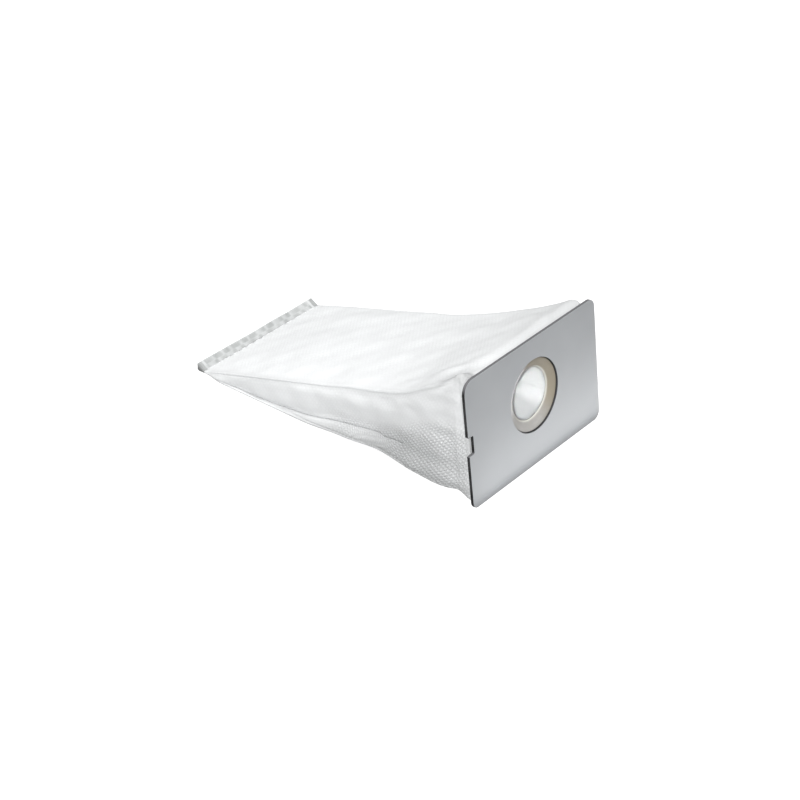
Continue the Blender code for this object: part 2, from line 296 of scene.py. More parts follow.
def edge_material(name, side, up):
    """The plate's cut edges: darker, with fine marks of the cut; the upward-facing ones are painted lighter and the
    side ones darker, as light and shade by which way they face.
    """
    t = Tree(name)
    coords = t.add("ShaderNodeTexCoord")
    marks = t.noise(1500.0, 2.0, 0.5, coords.outputs["Object"])
    cloud = t.noise(120.0, 2.0, 0.5, coords.outputs["Object"])
    facing = t.add("ShaderNodeSeparateXYZ")
    t.link(t.add("ShaderNodeNewGeometry").outputs["Normal"], facing.inputs[0])
    # painted light and shade: edges facing upwards get the lighter colour, side ones the darker
    colour = t.mix(t.ramp(facing.outputs[2], 0.1, 0.7), rgba(side, side, side * 1.04), rgba(up, up, up * 1.04))
    colour = t.mix(t.ramp(cloud, 0.3, 0.7, 0.0, 0.25), colour, rgba(up * 1.1, up * 1.1, up * 1.15))
    relief = t.add("ShaderNodeBump")
    relief.inputs["Strength"].default_value = 0.4
    relief.inputs["Distance"].default_value = 0.00006
    t.link(marks, relief.inputs["Height"])
    body = t.add("ShaderNodeBsdfPrincipled")
    t.feed(body.inputs["Base Color"], colour)
    body.inputs["Roughness"].default_value = 0.6
    body.inputs["Specular IOR Level"].default_value = 0.15
    t.link(relief.outputs["Normal"], body.inputs["Normal"])
    t.link(body.outputs[0], t.out.inputs["Surface"])
    return t.mat


def seal_material():
    """Soft beige rubber, dull, slightly mottled."""
    t = Tree("beige_rubber")
    coords = t.add("ShaderNodeTexCoord")
    mottle = t.noise(240.0, 3.0, 0.55, coords.outputs["Object"])
    fine = t.noise(2400.0, 2.0, 0.5, coords.outputs["Object"])
    split = t.add("ShaderNodeSeparateXYZ")
    t.link(coords.outputs["Object"], split.inputs[0])
    # painted shade: darker and browner towards the upper right; painted light: paler on the left
    across = t.math("MULTIPLY_ADD", split.outputs[2], 0.7, t.math("SUBTRACT", split.outputs[0], 0.0273))
    colour = t.mix(t.ramp(mottle, 0.3, 0.7), rgba(0.318, 0.31, 0.296), rgba(0.356, 0.348, 0.334))
    colour = t.mix(t.ramp(across, -0.010, 0.014), colour, rgba(0.254, 0.225, 0.172))
    painted_light_left = t.math("MULTIPLY", t.ramp(split.outputs[0], -0.002, -0.012), t.ramp(split.outputs[2], 0.030, 0.046))
    colour = t.mix(painted_light_left, colour, rgba(0.74, 0.75, 0.76))
    # painted highlight: the lip's bead is drawn lighter
    bead = t.add("ShaderNodeAttribute", attribute_name="bead").outputs["Fac"]
    colour = t.mix(bead, colour, rgba(0.58, 0.57, 0.52))
    relief = t.add("ShaderNodeBump")
    relief.inputs["Strength"].default_value = 0.3
    relief.inputs["Distance"].default_value = 0.00006
    t.link(t.math("MULTIPLY_ADD", fine, 0.5, mottle), relief.inputs["Height"])
    body = t.add("ShaderNodeBsdfPrincipled")
    t.feed(body.inputs["Base Color"], colour)
    t.feed(body.inputs["Roughness"], t.ramp(mottle, 0.2, 0.8, 0.5, 0.62, "LINEAR"))
    body.inputs["Specular IOR Level"].default_value = 0.4
    body.inputs["Subsurface Weight"].default_value = 0.15
    body.inputs["Subsurface Radius"].default_value = (0.001, 0.0008, 0.0006)
    body.inputs["Subsurface Scale"].default_value = 1.0
    t.link(relief.outputs["Normal"], body.inputs["Normal"])
    t.link(body.outputs[0], t.out.inputs["Surface"])
    return t.mat


# ---------------------------------------------------------------- mesh helpers
def make(name, points, faces, materials, uv=None, slots=None, attributes=None, sharp=None):
    mesh = bpy.data.meshes.new(name)
    mesh.from_pydata([tuple(p) for p in points], [], faces)
    for m in materials:
        mesh.materials.append(m)
    if slots is not None:
        mesh.polygons.foreach_set("material_index", np.asarray(slots, np.int32))
    if uv is not None:
        layer = mesh.uv_layers.new(name="sheet")
        index = np.empty(len(mesh.loops), np.int32)
        mesh.loops.foreach_get("vertex_index", index)
        layer.data.foreach_set("uv", np.asarray(uv, np.float32)[index].ravel())
    for key, values in (attributes or {}).items():
        layer = mesh.attributes.new(key, "FLOAT", "POINT")
        layer.data.foreach_set("value", np.asarray(values, np.float32))
    mesh.validate()
    mesh.shade_smooth()
    if sharp is not None:
        mesh.set_sharp_from_angle(angle=math.radians(sharp))
    made = bpy.data.objects.new(name, mesh)
    bpy.context.scene.collection.objects.link(made)
    return made


def face_out(made):
    """Turns a closed mesh's faces outwards."""
    data = bmesh.new()
    data.from_mesh(made.data)
    bmesh.ops.recalc_face_normals(data, faces=data.faces)
    data.to_mesh(made.data)
    data.free()


def band(first, second, count):
    """Quads between two loops of vertices, given by their first index."""
    return [
        (first + i, first + (i + 1) % count, second + (i + 1) % count, second + i)
        for i in range(count)
    ]


def arc(cx, cz, r, start, end, steps):
    a = np.radians(np.linspace(start, end, steps + 1))
    return np.stack([cx + r * np.cos(a), cz + r * np.sin(a)], -1)


def inset(ring, amount):
    """A closed outline drawn in all round; positive shrinks an anticlockwise one."""
    before, after = np.roll(ring, 1, 0), np.roll(ring, -1, 0)
    a = ring - before
    b = after - ring
    a /= np.maximum(np.linalg.norm(a, axis=1, keepdims=True), 1e-9)
    b /= np.maximum(np.linalg.norm(b, axis=1, keepdims=True), 1e-9)
    n = np.stack([-(a[:, 1] + b[:, 1]), a[:, 0] + b[:, 0]], -1)
    n /= np.maximum(np.linalg.norm(n, axis=1, keepdims=True), 1e-9)
    spread = np.maximum((n * np.stack([-a[:, 1], a[:, 0]], -1)).sum(1), 0.5)
    return ring + n * (amount / spread)[:, None]


# ---------------------------------------------------------------- mounting plate
def plate_outline():
    w, h = PLATE_W / 2, PLATE_H / 2
    top, low, r = NOTCH_RISE + NOTCH_H / 2, NOTCH_RISE - NOTCH_H / 2, NOTCH_R
    c = CORNERS
    return np.concatenate([
        arc(w - c["br"], -h + c["br"], c["br"], -90, 0, 20),
        arc(w - c["tr"], h - c["tr"], c["tr"], 0, 90, 20),
        arc(-w + c["tl"], h - c["tl"], c["tl"], 90, 180, 24),
        arc(-w + r, top + r, r, 180, 270, 8),
        arc(-w + NOTCH_D - r, top - r, r, 90, 0, 8),
        arc(-w + NOTCH_D - r, low + r, r, 0, -90, 8),
        arc(-w + r, low - r, r, 90, 180, 8),
        arc(-w + c["bl"], -h + c["bl"], c["bl"], 180, 270, 16),
    ])


def mounting_plate():
    edge = plate_outline()
    port = arc(0.0, PORT_RISE, PORT_D / 2, 0, 360, 240)[:-1]
    r, steps = 0.22, 4
    turn = np.radians(np.linspace(90, 0, steps + 1))
    profile = [(r * (1 - math.sin(a)), r * (1 - math.cos(a))) for a in turn]  # depth, back
    profile += [(PLATE_T - d, b) for d, b in reversed(profile)]
    # a narrow flat rim first, so that the big faces keep their flat shading
    profile = [(0.0, r + 0.5)] + profile + [(PLATE_T, r + 0.5)]
    data = bmesh.new()
    stacks = []
    for ring, sign in ((edge, 1), (port, -1)):
        loops = []
        for depth, back in profile:
            p = inset(ring, sign * back)
            q = place(on_plate(p[:, 0], depth, p[:, 1]))
            loops.append([data.verts.new(v) for v in q])
        stacks.append(loops)
    for loops, dark in zip(stacks, (True, True)):
        last = len(loops) - 2
        for level, (first, second) in enumerate(zip(loops, loops[1:])):
            for i in range(len(first)):
                j = (i + 1) % len(first)
                f = data.faces.new((first[i], first[j], second[j], second[i]))
                f.material_index = (1 if loops is stacks[0] else 2) if 2 < level < last - 1 else 0
                f.smooth = True
    for level in (0, -1):
        rims = []
        for loops in stacks:
            ring = loops[level]
            rims += [data.edges.get((ring[i], ring[(i + 1) % len(ring)])) for i in range(len(ring))]
        made = bmesh.ops.triangle_fill(data, use_beauty=True, use_dissolve=False, edges=rims)
        for f in made["geom"]:
            if isinstance(f, bmesh.types.BMFace):
                f.smooth = True
    bmesh.ops.recalc_face_normals(data, faces=data.faces)
    mesh = bpy.data.meshes.new("plate")
    data.to_mesh(mesh)
    data.free()
    mesh.materials.append(plate_material())
    mesh.materials.append(edge_material("plate_cut_edge", 0.012, 0.12))
    mesh.materials.append(edge_material("port_cut_edge", 0.045, 0.045))
    made = bpy.data.objects.new("plate", mesh)
    bpy.context.scene.collection.objects.link(made)
    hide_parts("mounting_plate")
    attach(made, "root")
    return made


# ---------------------------------------------------------------- lip seal
def seal_profile():
    """The ring's section, (radius, depth): a flat flange, a dipping lip with a small bead at its edge."""
    front = PLATE_T + 0.02
    rim, lip, root = FLANGE_D / 2, LIP_D / 2, PORT_D / 2 - 0.3
    steps = 16
    t = np.linspace(0, 1, steps + 1)
    # the moulded ring stands a little way into the plate's hole
    proud = 0.95
    radius = root - 0.25 + (lip + 0.35 - root + 0.25) * t
    dip = proud + (LIP_DEPTH - proud) * (0.34 * t + 0.66 * t * t)
    # a slight swell halfway, as a moulded lip has
    dip = dip - 0.10 * np.sin(np.pi * t)
    thick = 0.38 + (front + FLANGE_T - proud - 0.38) * (1 - t) ** 3
    step = np.array([(root, front), (root, proud + 0.25), (root - 0.08, proud + 0.07)])
    front_side = np.concatenate([step, np.stack([radius, dip], -1)])
    back_side = np.stack([radius + 0.10 * t, dip + thick], -1)[::-1]
    centre = (lip + 0.42, LIP_DEPTH + 0.22)
    bead = [(centre[0] + 0.40 * math.cos(a), centre[1] + 0.30 * math.sin(a)) for a in np.radians(np.linspace(-70, -290, 12))]
    outer = [(rim - 0.1, front + FLANGE_T), (rim, front + FLANGE_T - 0.1), (rim, front + 0.1), (rim - 0.1, front)]
    return np.concatenate([np.array(outer[2:]), front_side, np.array(bead), back_side, np.array(outer[:2])])


def lip_seal():
    profile = seal_profile()
    turns, count = 200, len(seal_profile())
    angles = 2 * math.pi * np.arange(turns) / turns
    points = []
    for a in angles:
        # the soft lip isn't quite round
        ease = 1 + 0.004 * math.sin(2 * a + 0.6) + 0.003 * math.sin(3 * a + 2.1)
        r = np.where(profile[:, 0] < PORT_D / 2 - 1, profile[:, 0] * ease, profile[:, 0])
        points.append(on_plate(r * math.cos(a), profile[:, 1], PORT_RISE + r * math.sin(a)))
    faces = []
    for k in range(turns):
        faces += band(k * count, ((k + 1) % turns) * count, count)
    # painted highlight on the lip's bead ring
    bead_highlight = np.tile(smooth(LIP_D / 2 + 1.1, LIP_D / 2 + 0.4, profile[:, 0]), turns)
    made = make("seal", place(np.concatenate(points)), faces, [seal_material()], sharp=60, attributes={"bead": bead_highlight})
    face_out(made)
    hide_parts("lip_seal")
    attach(made, "root")
    return made


# ---------------------------------------------------------------- fleece bag
def top_fold(y, side, ear=True):
    """Height of the top fold: side -1 is the keyed edge's side, 1 the other.

    ear adds the keyed side's corner, which stands up just behind the plate.
    """
    z = 1.5 + 0.285 * (WELD_START + 0.6 - y) + 25.9 * np.exp(-y / 30.25) + 0.45 * smooth(14, 40, y) * smooth(180, 150, y)
    z = z + 0.5 * smooth(84, 112, y) * smooth(188, 174, y)
    if side < 0:
        # drawn in further back than on the other side, and lower by as much
        z = z - 5.8 * (smooth(96, 38, y) - smooth(78, 18, y))
        z = z + 1.9 * smooth(14, 30, y) * smooth(104, 76, y) + 0.4 * bump(y, 60, 10)
    if side < 0 and ear:
        z = z + 0.9 * bump(y, 15, 8) + 0.9 * bump(y, 9.5, 2.5)
        return soft_min(z, 72.8 - 2.1 * smooth(8.6, 5.6, y), 0.35)
    return soft_min(z, (69.7 if side > 0 else 70.6) - 0.36 * y + 0.0095 * y * y, 0.8)


def fold_out(y, side):
    """How far out the top fold lies."""
    wide = HALF + 6.2 * (smooth(96, 38, y) if side > 0 else smooth(78, 18, y)) - 1.3 * smooth(30, 6, y)
    return wide - (0.5 * smooth(20, 8, y) if side > 0 else 0)


def half_section(s, side, skin=0.0):
    """Half of the bag's section at station s: points (out, up) from the top middle to the bottom middle.

    skin is 1 for the inner face, which passes inside the top fold's lip.
    """
    square = 1 - smooth(2.0, 60.0, s)
    tz = top_fold(s, side)
    for _ in range(3):
        y = s + TAN * (tz - FOOT) * square
        tz = top_fold(y, side)
    other = top_fold(s + TAN * (tz - FOOT) * square, -side, ear=False)
    plain = top_fold(y, side, ear=False)
    tx = fold_out(y, side)
    low = 0.12 + 2.4 * bump(s, 66, 15) + 0.6 * bump(s, 16.5, 3.5)
    bx = HALF + 2.0 * smooth(12, 2, s) - 0.8 * bump(s, 15.5, 3.2) + 1.8 * bump(s, 28, 9) + 1.0 * bump(s, 42, 9) + 1.2 * bump(s, 8, 4) + 1.5 * bump(s, 2.5, 2.5) + 2.2 * smooth(90, 116, s) * smooth(189, 174, s)
    height = tz - low
    crown = 2.6 * smooth(WELD_START, 125, s) * smooth(2, 45, s)
    if side < 0:
        corner = min(0.9 + 0.7 * smooth(110, 80, s) + 1.5 * smooth(6.0, 1.5, s), 0.40 * height)
    else:
        corner = min(0.75 + 6.0 * smooth(9.5, 2.2, s), 0.40 * height)
    foot = min(0.8 + 0.7 * smooth(14, 2.5, s) + 7.0 * skin * smooth(56, 36, s), 0.40 * height)
    mean = (plain + other) / 2
    ear = tz - plain
    crisp = smooth(5.0, 13, s) * smooth(187.5, 178, s) * min(1.0, height / 8)
    tx = tx - 1.7 * crisp * skin
    tz = tz - 0.5 * crisp * skin

    # top panel
    t = np.linspace(0, 1, 49)
    t = t + 0.035 * np.sin(2 * np.pi * t)  # closer together near the fold
    t = (t - t[0]) / (t[-1] - t[0])
    x = (tx - corner) * t
    top = np.stack([x, mean + (tz - ear - mean) * t + ear * t ** 5 + crown * (1 - t * t)], -1)
    # the fold itself
    a = np.radians(np.linspace(90, 0, 7))[1:]
    fold = np.stack([tx - corner + corner * np.cos(a), tz - corner + corner * np.sin(a)], -1)
    # the side wall, which starts from a crease below the top fold's lip
    lip = crisp * (1 - skin)
    start = np.array([tx, tz - corner])
    under = start + (np.array([-0.15, 0.0]) if side < 0 else np.array([-0.9, -0.65])) * lip - (0.0, 0.35 * min(1.0, height / 10))
    end_plain = np.array([bx, low + foot])
    n_wall, n_slit, n_ledge = 40, 12, 13
    flat = min(1.0, height / 14)
    ledge = smooth(36, 66, s) * smooth(185, 165, s)
    depth = max(6.0, (77 - height) / 2) * smooth(46, 86, s) * smooth(184, 168, s)
    # the gusset's crease climbs towards the plate, and dies out before it
    climb = smooth(134, 44, s)
    shallow = smooth(122, 150, s)
    inset_by = (2.3 - 0.9 * climb - 0.8 * shallow) * ledge
    valley = (2.3 + 12.0 * climb - 1.0 * shallow) * max(ledge, climb)
    mouth_low = np.array([bx - inset_by, low + foot + max(0.0, valley - low - foot) * flat])
    gap = (0.9 - 0.35 * climb) * ledge * flat * smooth(46, 74, s)
    mouth_high = mouth_low + (0.15 * ledge, gap)
    drop = under[1] - mouth_high[1]
    t = np.linspace(0, 1, n_wall + 1)[1:, None]
    # near the plate the wall is a plain panel, further back a belly that turns under
    turn = smooth(20, 80, s)
    fill = min(1.0, height / 18)
    c1 = under + np.array([(0.5 + 1.9 * turn) * fill * crisp, -0.28 * drop])
    c2 = mouth_high + np.array([(0.1 + 1.0 * turn) * fill, (0.36 - 0.04 * turn) * drop])
    wall = (1 - t) ** 3 * under + 3 * t * (1 - t) ** 2 * c1 + 3 * t * t * (1 - t) * c2 + t ** 3 * mouth_high
    # between the gusset's two layers
    k = np.linspace(0, 1, n_slit + 1)[1:]
    tip = 0.35 * gap + 0.05
    tilt = 0.6 * min(1, depth / 8) * flat
    upper = np.stack([mouth_high[0] - depth * k, mouth_high[1] - (gap - tip) * 0.5 * k ** 0.7 + tilt * k], -1)
    k = k[::-1]
    lower = np.stack([mouth_low[0] - depth * k, mouth_low[1] + (gap - tip) * 0.5 * k ** 0.7 + tilt * k], -1)
    k = 1 - (1 - np.linspace(0, 1, n_ledge + 1)[:, None]) ** 1.5  # closer together near the hem
    puff = np.stack([(0.35 + 0.5 * climb) * ledge * np.sin(np.pi * k[:, 0]), 0 * k[:, 0]], -1)
    shelf = mouth_low + (end_plain - mouth_low) * k + puff
    folded = np.concatenate([wall, upper, lower, shelf])
    # next to the plate the side is one plain panel, with a soft hollow where the crease dies out
    f = np.concatenate([np.linspace(0, 0.64, n_wall + 1)[1:], np.linspace(0.64, 0.69, 2 * n_slit + 1)[1:], np.linspace(0.69, 1, n_ledge + 2)[1:]])[:, None]
    reach = under[1] - end_plain[1]
    p1 = under + np.array([0.6 * fill * crisp, -0.33 * reach])
    p2 = end_plain + np.array([0.3, 0.33 * reach])
    panel = (1 - f) ** 3 * under + 3 * f * (1 - f) ** 2 * p1 + 3 * f * f * (1 - f) * p2 + f ** 3 * end_plain
    panel[:, 0] -= 0.9 * bump(panel[:, 1], 14, 6) * smooth(14, 40, s)
    shut = smooth(52, 34, s)
    wall_all = folded + (panel - folded) * shut
    # the hem: a narrow groove just above the bottom fold
    above = wall_all[:, 1] - (low + foot)
    wall_all[-(n_ledge + 1):, 0] -= (0.55 * bump(above, 0.75, 0.5) * smooth(6, 14, s) * smooth(189, 178, s))[-(n_ledge + 1):]
    a = np.radians(np.linspace(0, -90, 6))[1:]
    under_fold = np.stack([bx - foot + foot * np.cos(a), low + foot + foot * np.sin(a)], -1)
    middle = max(0.0, low - 1.6) if s > 20 else low * 0.6
    t = np.linspace(1, 0, 37)[1:]
    x = (bx - foot) * t
    under_panel = np.stack([x, middle + (low - middle) * t ** 2.2], -1)
    return np.concatenate([top, fold, under[None], wall_all, under_fold, under_panel])


def section(s, skin=0.0):
    right, left = half_section(s, 1, skin), half_section(s, -1, skin)
    left = left[1:-1][::-1] * (-1, 1)
    return np.concatenate([right, left])


def ripple(x, y, seed, waves=9, shortest=14.0, longest=60.0):
    """Smooth irregular relief of about unit height, from waves in fixed directions."""
    rng = np.random.default_rng(seed)
    total = np.zeros(np.broadcast(x, y).shape)
    for _ in range(waves):
        length = longest * (shortest / longest) ** rng.random()
        angle, phase = rng.random() * 2 * np.pi, rng.random() * 2 * np.pi
        total = total + np.sin((x * np.cos(angle) + y * np.sin(angle)) * 2 * np.pi / length + phase) * (length / longest) ** 0.5
    return total / math.sqrt(waves) * 1.2


def crease(x, y, a, b, width, fade=0.25):
    """1 along the line from a to b, falling off to both sides and towards its ends."""
    a, b = np.array(a, float), np.array(b, float)
    d = b - a
    long = np.hypot(*d)
    along = ((x - a[0]) * d[0] + (y - a[1]) * d[1]) / long / long
    off = np.abs((x - a[0]) * d[1] - (y - a[1]) * d[0]) / long
    ends = smooth(-fade * 0.2, fade, along) * smooth(1 + fade * 0.2, 1 - fade, along)
    return np.exp(-((off / width) ** 2)) * ends


def build_bag():
    face = PLATE_T + 0.05
    start = face / math.cos(LEAN)
    near = start + np.array([0, 0.25, 0.55, 0.9, 1.3, 1.75, 2.25, 2.8, 3.4, 4.1, 4.9, 5.8, 6.8])
    far = np.linspace(near[-1], WELD_START + 0.6, 166)[1:]
    stations = np.concatenate([near, far])
    rings = np.stack([section(s) for s in stations])  # S, N, 2
    count = rings.shape[1]
    square = 1 - smooth(2.0, 60.0, stations)
    Y = stations[:, None] + TAN * (rings[:, :, 1] - FOOT) * square[:, None]
    P = np.stack([rings[:, :, 0], Y, rings[:, :, 1]], -1)

    # arc length round each section from the top middle, and along the top middle line
    step = np.linalg.norm(np.diff(P, axis=1, append=P[:, :1]), axis=2)
    round_it = np.concatenate([np.zeros((len(P), 1)), np.cumsum(step, 1)[:, :-1]], 1)
    half = count // 2
    whole = step.sum(1, keepdims=True)
    round_it[:, half + 1:] -= whole
    along = np.concatenate([[0], np.cumsum(np.linalg.norm(np.diff(P[:, 0], axis=0), axis=1))])
    uv = np.stack([round_it, np.repeat(along[:, None], count, 1)], -1)

    # outward normals of the smooth shape
    du = np.roll(P, -1, 1) - np.roll(P, 1, 1)
    dv = np.gradient(P, axis=0)
    normal = np.cross(du, dv)
    normal /= np.maximum(np.linalg.norm(normal, axis=2, keepdims=True), 1e-9)
    middle = P.mean(1, keepdims=True)
    if ((P - middle) * normal).sum(2).mean() < 0:
        normal = -normal

    # sculpted relief
    i = np.arange(count)
    n_top = 49
    right_i = np.minimum(i, count - i)  # index counted down either side
    on_top = smooth(n_top + 2, n_top - 5, right_i)[None, :] * np.ones((len(P), 1))
    on_wall = (smooth(n_top + 6, n_top + 14, right_i) * smooth(n_top + 47, n_top + 40, right_i))[None, :] * np.ones((len(P), 1))
    plain = smooth(52, 34, stations)[:, None] * np.ones(len(i))[None, :]
    on_wall = np.maximum(on_wall, plain * (smooth(n_top + 6, n_top + 14, right_i) * smooth(n_top + 87, n_top + 80, right_i))[None, :])
    x, y, z = P[..., 0], P[..., 1], P[..., 2]
    lift = np.zeros(x.shape)
    clear = smooth(4, 22, stations)[:, None] * smooth(WELD_START, 176, stations)[:, None]
    lift += on_top * clear * 0.42 * ripple(x, y, 5)
    lift += on_wall * clear * 0.32 * ripple(z * 1.6 + 40, y + x * 0.2, 11, 9, 12, 40)
    on_shelf = (smooth(n_top + 71, n_top + 75, right_i) * smooth(n_top + 86, n_top + 82, right_i))[None, :] * (1 - plain)
    lift += on_shelf * clear * 0.22 * ripple(z * 1.3, y, 17, 8, 9, 34)
    # soft folds that run from the bend in the top fold up to the plate's top edge
    lift += on_top * 0.5 * crease(x, y, (-50, 40), (-14, 6), 5.6)
    lift += on_top * 0.35 * crease(x, y, (-44, 52), (-30, 12), 3.4)
    lift -= on_top * 0.25 * crease(x, y, (-47, 33), (-30, 8), 5.6)
    lift += on_top * 0.5 * crease(x, y, (48, 46), (18, 6), 6.0)
    lift -= on_top * 0.5 * crease(x, y, (46, 30), (30, 7), 5.0)
    # gathers at the weld
    rng = np.random.default_rng(3)
    for c in np.arange(-42, 43, 6.1):
        c = c + rng.uniform(-1.8, 1.8)
        reach = rng.uniform(5, 16)
        lift += on_top * 0.16 * bump(x, c, 1.3) * smooth(WELD_START - reach, WELD_START - 1.0, y)
    # the rim welded to the plate, then a slight groove, then the wall
    d = (stations - start)[:, None]
    rim = 0.55 * smooth(2.6, 1.9, d) - 0.42 * bump(d, 3.3, 0.7) * (0.12 + 0.88 * smooth(68, 46, z)) + 0.10 * bump(d, 1.1, 0.25)
    outside = smooth(n_top - 3, n_top + 2, right_i)[None, :]
    lift += rim * (0.25 + 0.75 * outside)
    # light pleats where the wall is drawn in behind the plate
    for c, w, a in ((9, 2.4, 0.5), (17, 2.0, -0.35), (27, 3.0, 0.3), (44, 3.0, -0.25), (58, 2.4, 0.4)):
        lift += on_wall * a * bump(z, c, w) * smooth(30, 6, y) * smooth(2.5, 6, stations)[:, None]
    for a, b, w, h in (((44, 44), (36, 42.5), 1.1, 0.16), ((42, 41), (37, 39.5), 1.1, -0.12), ((20, 39), (13, 38), 1.0, 0.3), ((25, 32), (12, 35), 1.6, -0.25)):
        lift += on_wall * (x < 0) * h * crease(y, z, a, b, w)
    low_corner = bump(z, 5.5, 3.2) * bump(y, 13, 7)
    lift += on_wall * 1.2 * low_corner * (x < 0)
    P = P + normal * lift[..., None]
    # a fold stands out where the wall turns in to the plate
    lift_x = 0.5 * bump(P[..., 1], 10.2, 0.9) * (P[..., 0] < 0) + 0.35 * bump(P[..., 1], 11.0, 1.2) * (P[..., 0] > 0)
    P[..., 0] += np.sign(P[..., 0]) * lift_x * on_wall * smooth(68, 48, P[..., 2])
    # what lies on the floor is pressed flat
    P[..., 2] = np.maximum(P[..., 2], 0.02)
    # painted shade, darkening the colour where shade falls: below the top fold's lip, in the gusset's fold, at the
    # hem, near the plate and where the sides turn under; in the creases it also stands partly for the greyer pressed
    # fleece
    folded = (smooth(36, 56, stations) * smooth(188, 178, stations))[:, None]
    down = np.abs(round_it)  # along the cloth from the top middle
    top_edge = np.where(i <= half, down[:, n_top - 1:n_top], down[:, count - n_top + 1:count - n_top + 2])
    lip_edge = np.where(i <= half, down[:, n_top + 6:n_top + 7], down[:, count - n_top - 6:count - n_top - 5])
    # next to the plate the keyed side's crease, and its painted shade line, runs in along the edge of the top
    tucked = smooth(24, 10, stations)[:, None] * (i[None, :] > half)
    below = down - (top_edge + np.minimum(lip_edge - top_edge, 3.4 - 3.1 * tucked))
    below = below + 4.5 * smooth(8.0, 3.5, stations)[:, None] * (i > half)[None, :]
    ends = np.maximum(smooth(4, 9, stations)[:, None], i[None, :] > half) * smooth(189, 184, stations)[:, None]
    # painted shade: a soft dark line along the crease below the top fold's lip, a faint band just above it and
    # patches on the wall below
    painted_shade_and_press = (0.18 + 0.10 * smooth(105, 150, y) + 0.06 * smooth(95, 60, y) + 0.5 * tucked) * bump(below, 0.0, 2.8 - 1.4 * tucked) * ends
    painted_shade_and_press = painted_shade_and_press + 0.12 * smooth(-7, -0.5, below) * smooth(2.0, 0.2, below) * ends
    painted_shade_and_press = painted_shade_and_press + 0.02 * bump(below, 6, 5) * smooth(48, 70, y) * smooth(140, 112, y) + 0.15 * bump(below, 4, 4) * smooth(110, 140, y)
    # painted shade on the gusset's ledge and on the upper wall near the plate
    painted_shade_and_press = painted_shade_and_press + 0.50 * on_shelf * smooth(80, 95, y) * smooth(138, 116, y)
    painted_shade_and_press = painted_shade_and_press + (0.20 + 0.22 * smooth(46, 60, z)) * smooth(70, 42, y) * smooth(2, 7, below) * smooth(24, 40, z) * smooth(6, 16, y)
    # painted shade in the gusset's folded valley
    painted_shade_and_press = painted_shade_and_press + 0.14 * bump(right_i, n_top + 46.5, 1.5)[None, :] * folded
    # painted shade along the hem, where the bottom fold turns under
    hem = (smooth(n_top + 81, n_top + 83, right_i) * smooth(n_top + 95, n_top + 90, right_i))[None, :]
    painted_shade_and_press = painted_shade_and_press + (0.22 + 0.60 * smooth(80, 125, y)) * hem * smooth(6, 14, stations)[:, None]
    # the top is drawn tight towards the plate, and its margin is stuck to the plate's back; painted shade darkens
    # the top towards the plate and along that margin
    shade_near_plate = 0.34 * smooth(140, -15, y) * (1 - 0.15 * smooth(-26, -40, x) * smooth(70, 45, y)) + 0.28 * smooth(45, 5, y) * smooth(-20, 10, x) + 0.05 * smooth(176, 140, y) + 0.15 * (smooth(7.5, 2.5, stations)[:, None] * np.ones(count)) + 0.17 * smooth(-36, -46, x) * smooth(38, 24, y)
    painted_shade_and_press = painted_shade_and_press + shade_near_plate * smooth(n_top + 7, n_top + 1, right_i)[None, :]
    # painted shade in the folded-in corner behind the keyed edge's top
    corner_shade = 0.08 * smooth(n_top + 2, n_top + 8, right_i) * smooth(n_top + 44, n_top + 28, right_i)
    corner_shade = np.maximum(corner_shade, 0.50 * smooth(n_top - 6, n_top - 1, right_i) * smooth(n_top + 10, n_top + 5, right_i))
    painted_shade_and_press = painted_shade_and_press + smooth(9.0, 7.0, stations)[:, None] * (corner_shade * (i > half))[None, :]
    # painted shade where the sides turn under and face down
    painted_shade_and_press = painted_shade_and_press + (0.56 + 0.14 * bump(y, 50, 9)) * smooth(79, 56, y) * smooth(2, 20, y) * smooth(32, 13, z) * smooth(n_top + 4, n_top + 10, right_i)[None, :]
    painted_shade_and_press = np.clip(painted_shade_and_press, 0, 1.5)

    points = [P.reshape(-1, 3)]
    coords = [uv.reshape(-1, 2)]
    faces = []
    S = len(stations)
    for k in range(S - 1):
        faces += band(k * count, (k + 1) * count, count)
    total = S * count
    # tail: closed rung by rung
    last = (S - 1) * count

    def rungs(first):
        made = []
        for j in range(count // 2):
            corners = []
            for v in (first + j, first + j + 1, first + (count - j - 1) % count, first + (count - j) % count):
                if v not in corners:
                    corners.append(v)
            if len(corners) > 2:
                made.append(tuple(corners))
        return made

    faces += rungs(last)

    def end_wall(ring3d, first, depth, flange_back, base_index):
        """Rings from the bag's outline in to the port, stepping back over the seal's flange."""
        nonlocal total
        c, s_ = math.cos(LEAN), math.sin(LEAN)
        height = (ring3d[:, 2] - FOOT + depth * s_) / c
        angle = np.arctan2(height - PORT_RISE, ring3d[:, 0])
        reach = np.hypot(height - PORT_RISE, ring3d[:, 0])
        loops = [base_index]
        outer, inner, hole = FLANGE_D / 2 + 1.8, FLANGE_D / 2 + 0.5, PORT_D / 2 + 0.3
        levels = [(t, None) for t in (0.2, 0.4, 0.6, 0.8)]
        levels += [(None, (outer, 0.0)), (None, ((outer + inner) / 2, 0.5)), (None, (inner, 1.0)), (None, ((inner + hole) / 2, 1.0)), (None, (hole, 1.0))]
        for t, fixed in levels:
            if fixed is None:
                r, back = reach + (outer - reach) * t, 0.0
            else:
                r, back = np.full(count, fixed[0]), fixed[1]
            p = on_plate(r * np.cos(angle), depth + back * flange_back, PORT_RISE + r * np.sin(angle))
            points.append(p)
            coords.append(np.stack([r * np.cos(angle), r * np.sin(angle)], -1))
            faces.extend(band(loops[-1], total, count))
            loops.append(total)
            total += count
        return loops[-1]

    rim_ring = P[0]
    front_last = end_wall(rim_ring, None, face, FLANGE_T + 0.06, 0)

